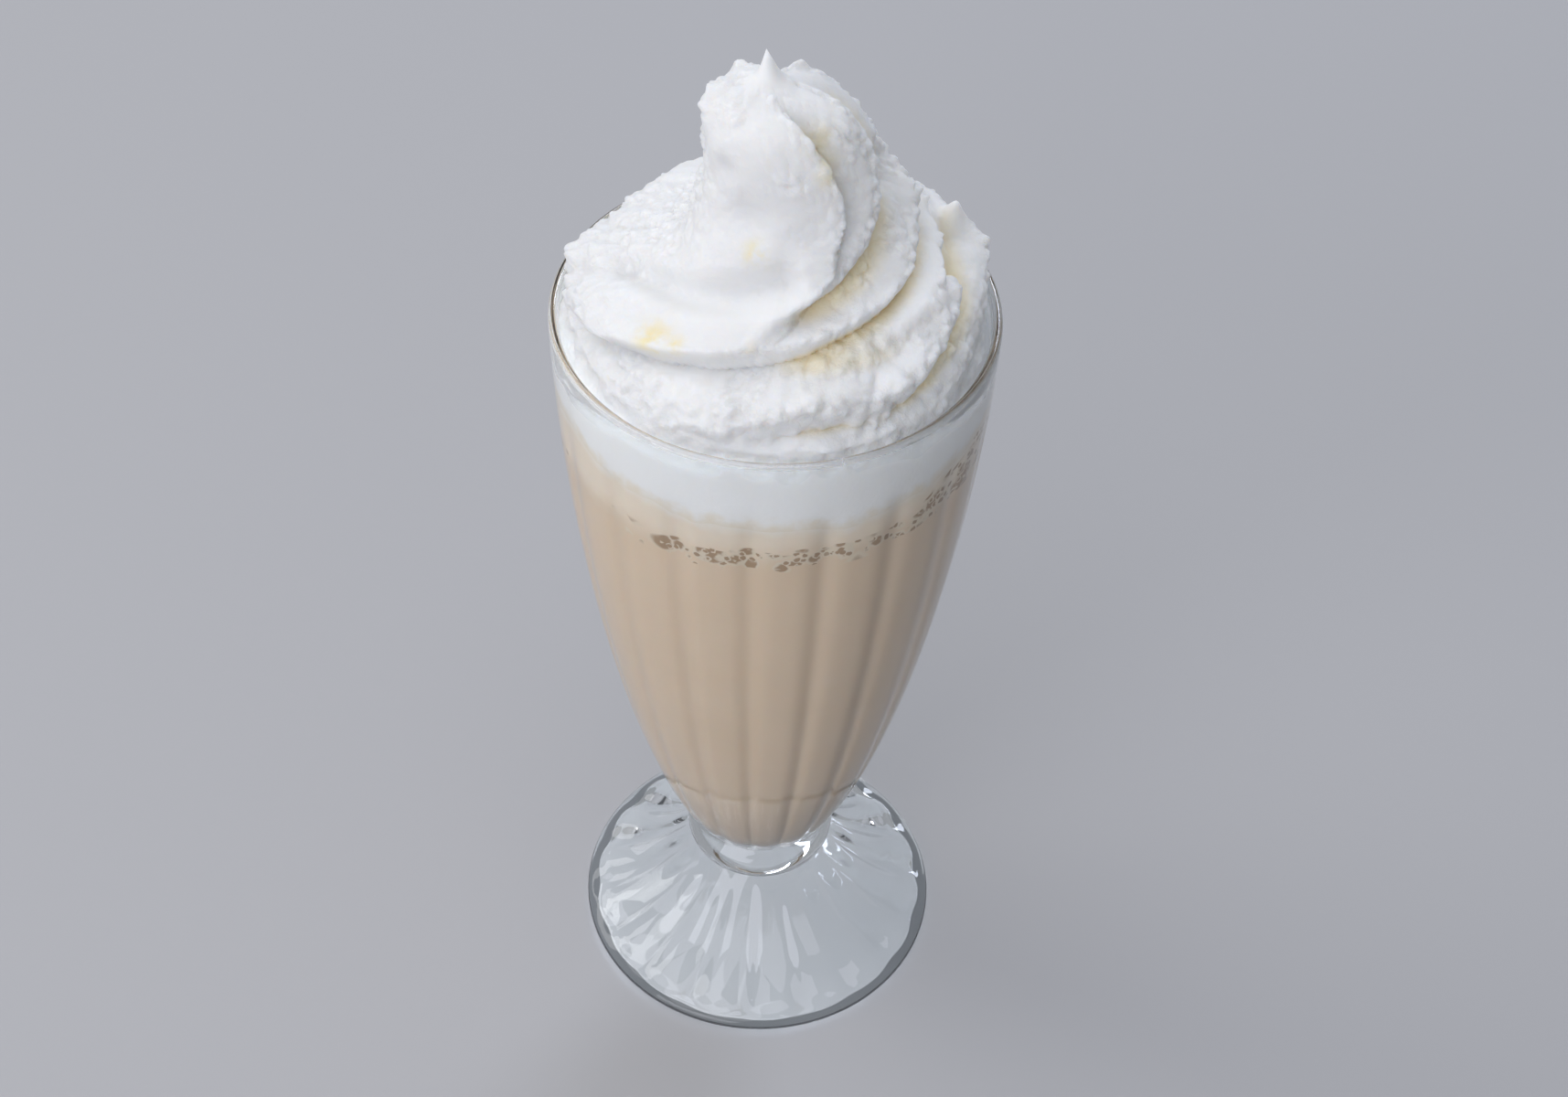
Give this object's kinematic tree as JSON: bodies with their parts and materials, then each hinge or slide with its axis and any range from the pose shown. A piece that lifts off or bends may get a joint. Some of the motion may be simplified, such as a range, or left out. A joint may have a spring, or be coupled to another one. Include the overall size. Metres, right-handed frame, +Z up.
{
  "type": "glass of coffee frappe",
  "caption": "Footed, fluted soda glass filled with pale milky coffee, a band of froth and a tall swirl of piped cream.",
  "frame": {"origin": "centre of the foot on the surface that the glass stands on", "axes": "+Z up along the glass's axis, -Y towards the side that the picture shows, +X to its right"},
  "size_m": [0.0846, 0.0846, 0.242],
  "materials": {
    "glass": "clear, smooth, fluted",
    "coffee": "opaque pale milky coffee",
    "froth": "opaque froth with small bubbles",
    "cream": "soft white whipped cream"
  },
  "bodies": {
    "root": {"glass": "glass", "coffee": "coffee", "froth": "froth", "cream": "cream"}
  },
  "joints": []
}
